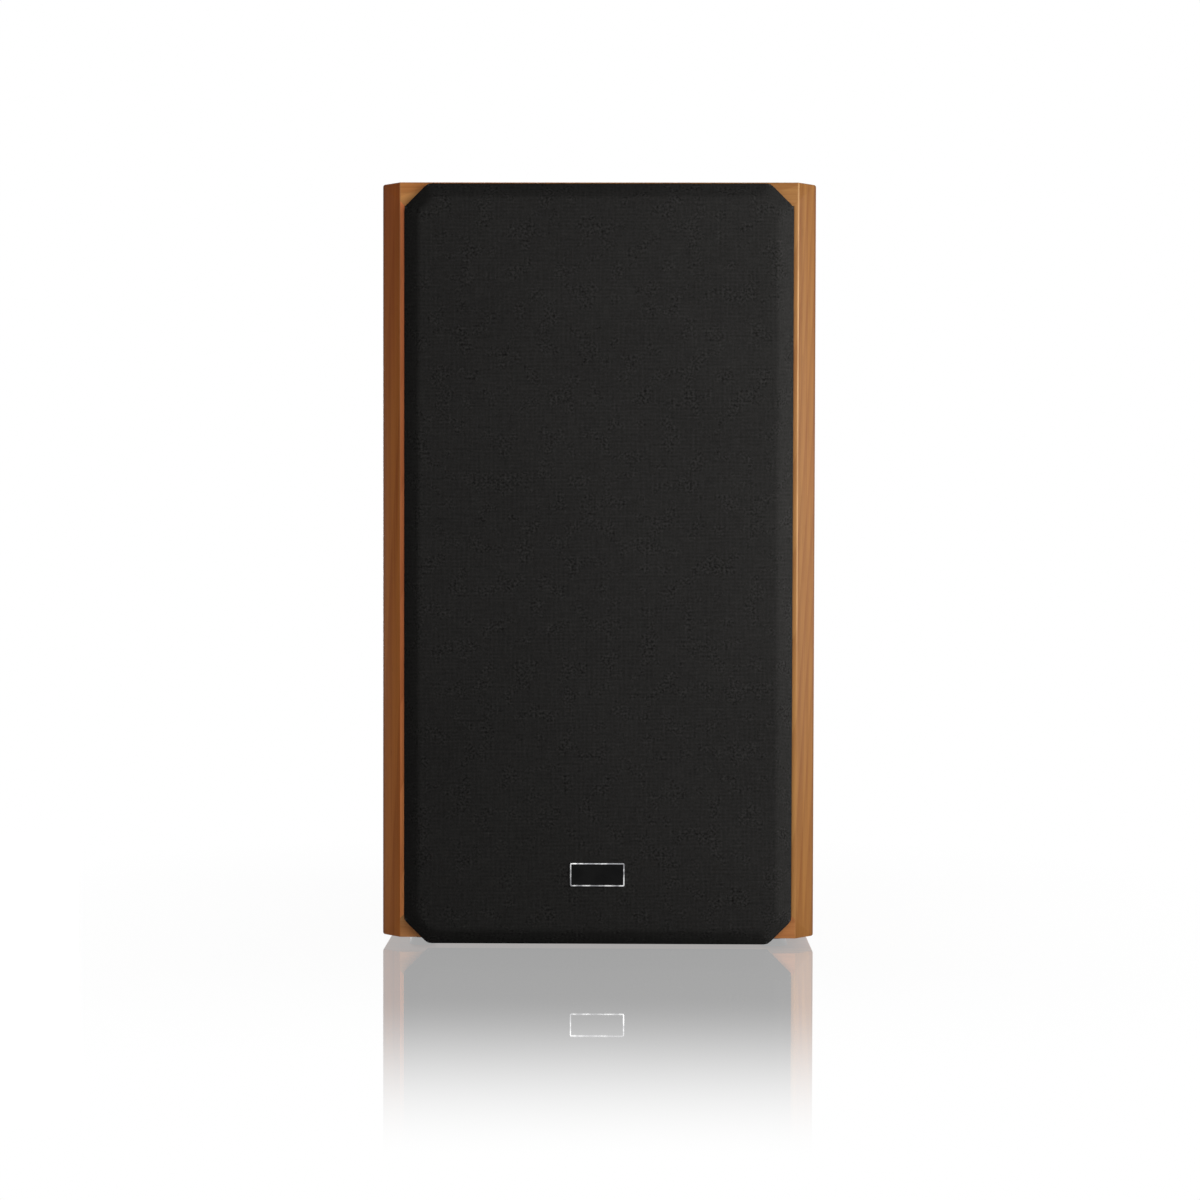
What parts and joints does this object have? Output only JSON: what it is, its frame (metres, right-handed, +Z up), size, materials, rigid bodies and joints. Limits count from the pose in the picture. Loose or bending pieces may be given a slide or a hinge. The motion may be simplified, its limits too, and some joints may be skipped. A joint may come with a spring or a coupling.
{
  "type": "loudspeaker",
  "caption": "Floorstanding loudspeaker: chamfered wooden cabinet, bevelled black cloth grille on pegs, cone woofer and midrange, dome tweeter, rear port and screw terminals.",
  "frame": {"origin": "centre of the whole, on the floor under the four feet", "axes": "+Z up, -Y the way the grille faces, +X to the right as seen from the front"},
  "size_m": [0.351, 0.3134, 0.616],
  "materials": {
    "wood_veneer": "satin lacquer over a straight-grained warm brown veneer",
    "painted_board": "matt black paint on fibreboard",
    "raw_board": "unfinished fibreboard and pine strips",
    "grille_cloth": "black open-weave speaker cloth",
    "black_plastic": "fine-grained moulded plastic",
    "gloss_black": "polished black",
    "gloss_red": "polished red",
    "badge_metal": "bright bevelled rim",
    "black_steel": "black powder coat",
    "plated_steel": "zinc plated",
    "ferrite": "sintered ferrite",
    "cone_paper": "coated pulp cone",
    "rubber": "butyl rubber",
    "treated_cloth": "resin-treated cotton",
    "dome_cloth": "doped silk",
    "voice_coil": "copper wire on an aluminium former",
    "copper": "enamelled copper wire",
    "film": "yellow film capacitor",
    "ceramic": "white ceramic",
    "brass": "gold plated",
    "wadding": "polyester fill",
    "cable": "PVC sheath"
  },
  "bodies": {
    "cabinet": {"back_panel": "painted_board", "back_panel_screws": "black_steel", "bottom_panel": "wood_veneer", "corner_cleats": "raw_board", "crossover_board": "raw_board", "crossover_capacitors": "film", "crossover_coils": "copper", "crossover_resistors": "ceramic", "damping_wadding": "wadding", "driver_gaskets": "rubber", "driver_screws": "black_steel", "driver_terminals": "brass", "front_baffle": "painted_board", "grille_cups": "black_plastic", "internal_cables": "cable", "midrange_basket": "black_steel", "midrange_chamber": "black_plastic", "midrange_magnet": "ferrite", "midrange_spider": "treated_cloth", "midrange_surround": "rubber", "midrange_top_plate": "plated_steel", "midrange_yoke": "plated_steel", "port_tube": "black_plastic", "post_nuts": "brass", "post_studs": "brass", "rubber_feet": "rubber", "shelf_brace": "raw_board", "side_panel_left": "wood_veneer", "side_panel_right": "wood_veneer", "small_screws": "black_steel", "terminal_cup": "black_plastic", "top_panel": "wood_veneer", "tweeter_faceplate": "black_plastic", "tweeter_magnet": "ferrite", "tweeter_surround": "dome_cloth", "tweeter_top_plate": "plated_steel", "tweeter_yoke": "plated_steel", "woofer_basket": "black_steel", "woofer_magnet": "ferrite", "woofer_spider": "treated_cloth", "woofer_surround": "rubber", "woofer_top_plate": "plated_steel", "woofer_yoke": "plated_steel"},
    "grille": {"grille_frame": "painted_board", "grille_cloth": "grille_cloth", "grille_pegs": "black_plastic", "badge_plate": "gloss_black", "badge_rim": "badge_metal"},
    "woofer_motion": {"woofer_cone": "cone_paper", "woofer_dust_cap": "cone_paper", "woofer_voice_coil": "voice_coil"},
    "midrange_motion": {"midrange_cone": "cone_paper", "midrange_dust_cap": "cone_paper", "midrange_voice_coil": "voice_coil"},
    "tweeter_motion": {"tweeter_dome": "dome_cloth", "tweeter_voice_coil": "voice_coil"},
    "washer_red": {"post_washer_red": "brass"},
    "washer_black": {"post_washer_black": "brass"},
    "cap_red": {"post_cap_red": "gloss_red"},
    "cap_black": {"post_cap_black": "gloss_black"}
  },
  "joints": [
    {"name": "grille_pull", "type": "slide", "parent": "cabinet", "child": "grille", "axis": [0, -1, 0], "range_m": [0, 0.12]},
    {"name": "woofer_travel", "type": "slide", "parent": "cabinet", "child": "woofer_motion", "axis": [0, -1, 0], "range_m": [-0.006, 0.006], "stiffness_N_per_m": 1500, "deforming": ["woofer_surround", "woofer_spider"]},
    {"name": "midrange_travel", "type": "slide", "parent": "cabinet", "child": "midrange_motion", "axis": [0, -1, 0], "range_m": [-0.0015, 0.0015], "stiffness_N_per_m": 2500, "deforming": ["midrange_surround", "midrange_spider"]},
    {"name": "tweeter_travel", "type": "slide", "parent": "cabinet", "child": "tweeter_motion", "axis": [0, -1, 0], "range_m": [-0.0003, 0.0003], "stiffness_N_per_m": 2000, "deforming": ["tweeter_surround"]},
    {"name": "washer_red_slide", "type": "slide", "parent": "cabinet", "child": "washer_red", "axis": [0, 1, 0], "range_m": [0, 0.005]},
    {"name": "cap_red_turn", "type": "hinge", "parent": "washer_red", "child": "cap_red", "pos_m": [-0.0095, 0.14275, 0.156], "axis": [0, 1, 0], "range_deg": [0, 1440]},
    {"name": "washer_black_slide", "type": "slide", "parent": "cabinet", "child": "washer_black", "axis": [0, 1, 0], "range_m": [0, 0.005]},
    {"name": "cap_black_turn", "type": "hinge", "parent": "washer_black", "child": "cap_black", "pos_m": [0.0095, 0.14275, 0.156], "axis": [0, 1, 0], "range_deg": [0, 1440]}
  ],
  "couplings": [
    {"joint": "cap_red_turn", "follows": "washer_red_slide", "rad_per_m": 5026.5},
    {"joint": "cap_black_turn", "follows": "washer_black_slide", "rad_per_m": 5026.5}
  ]
}
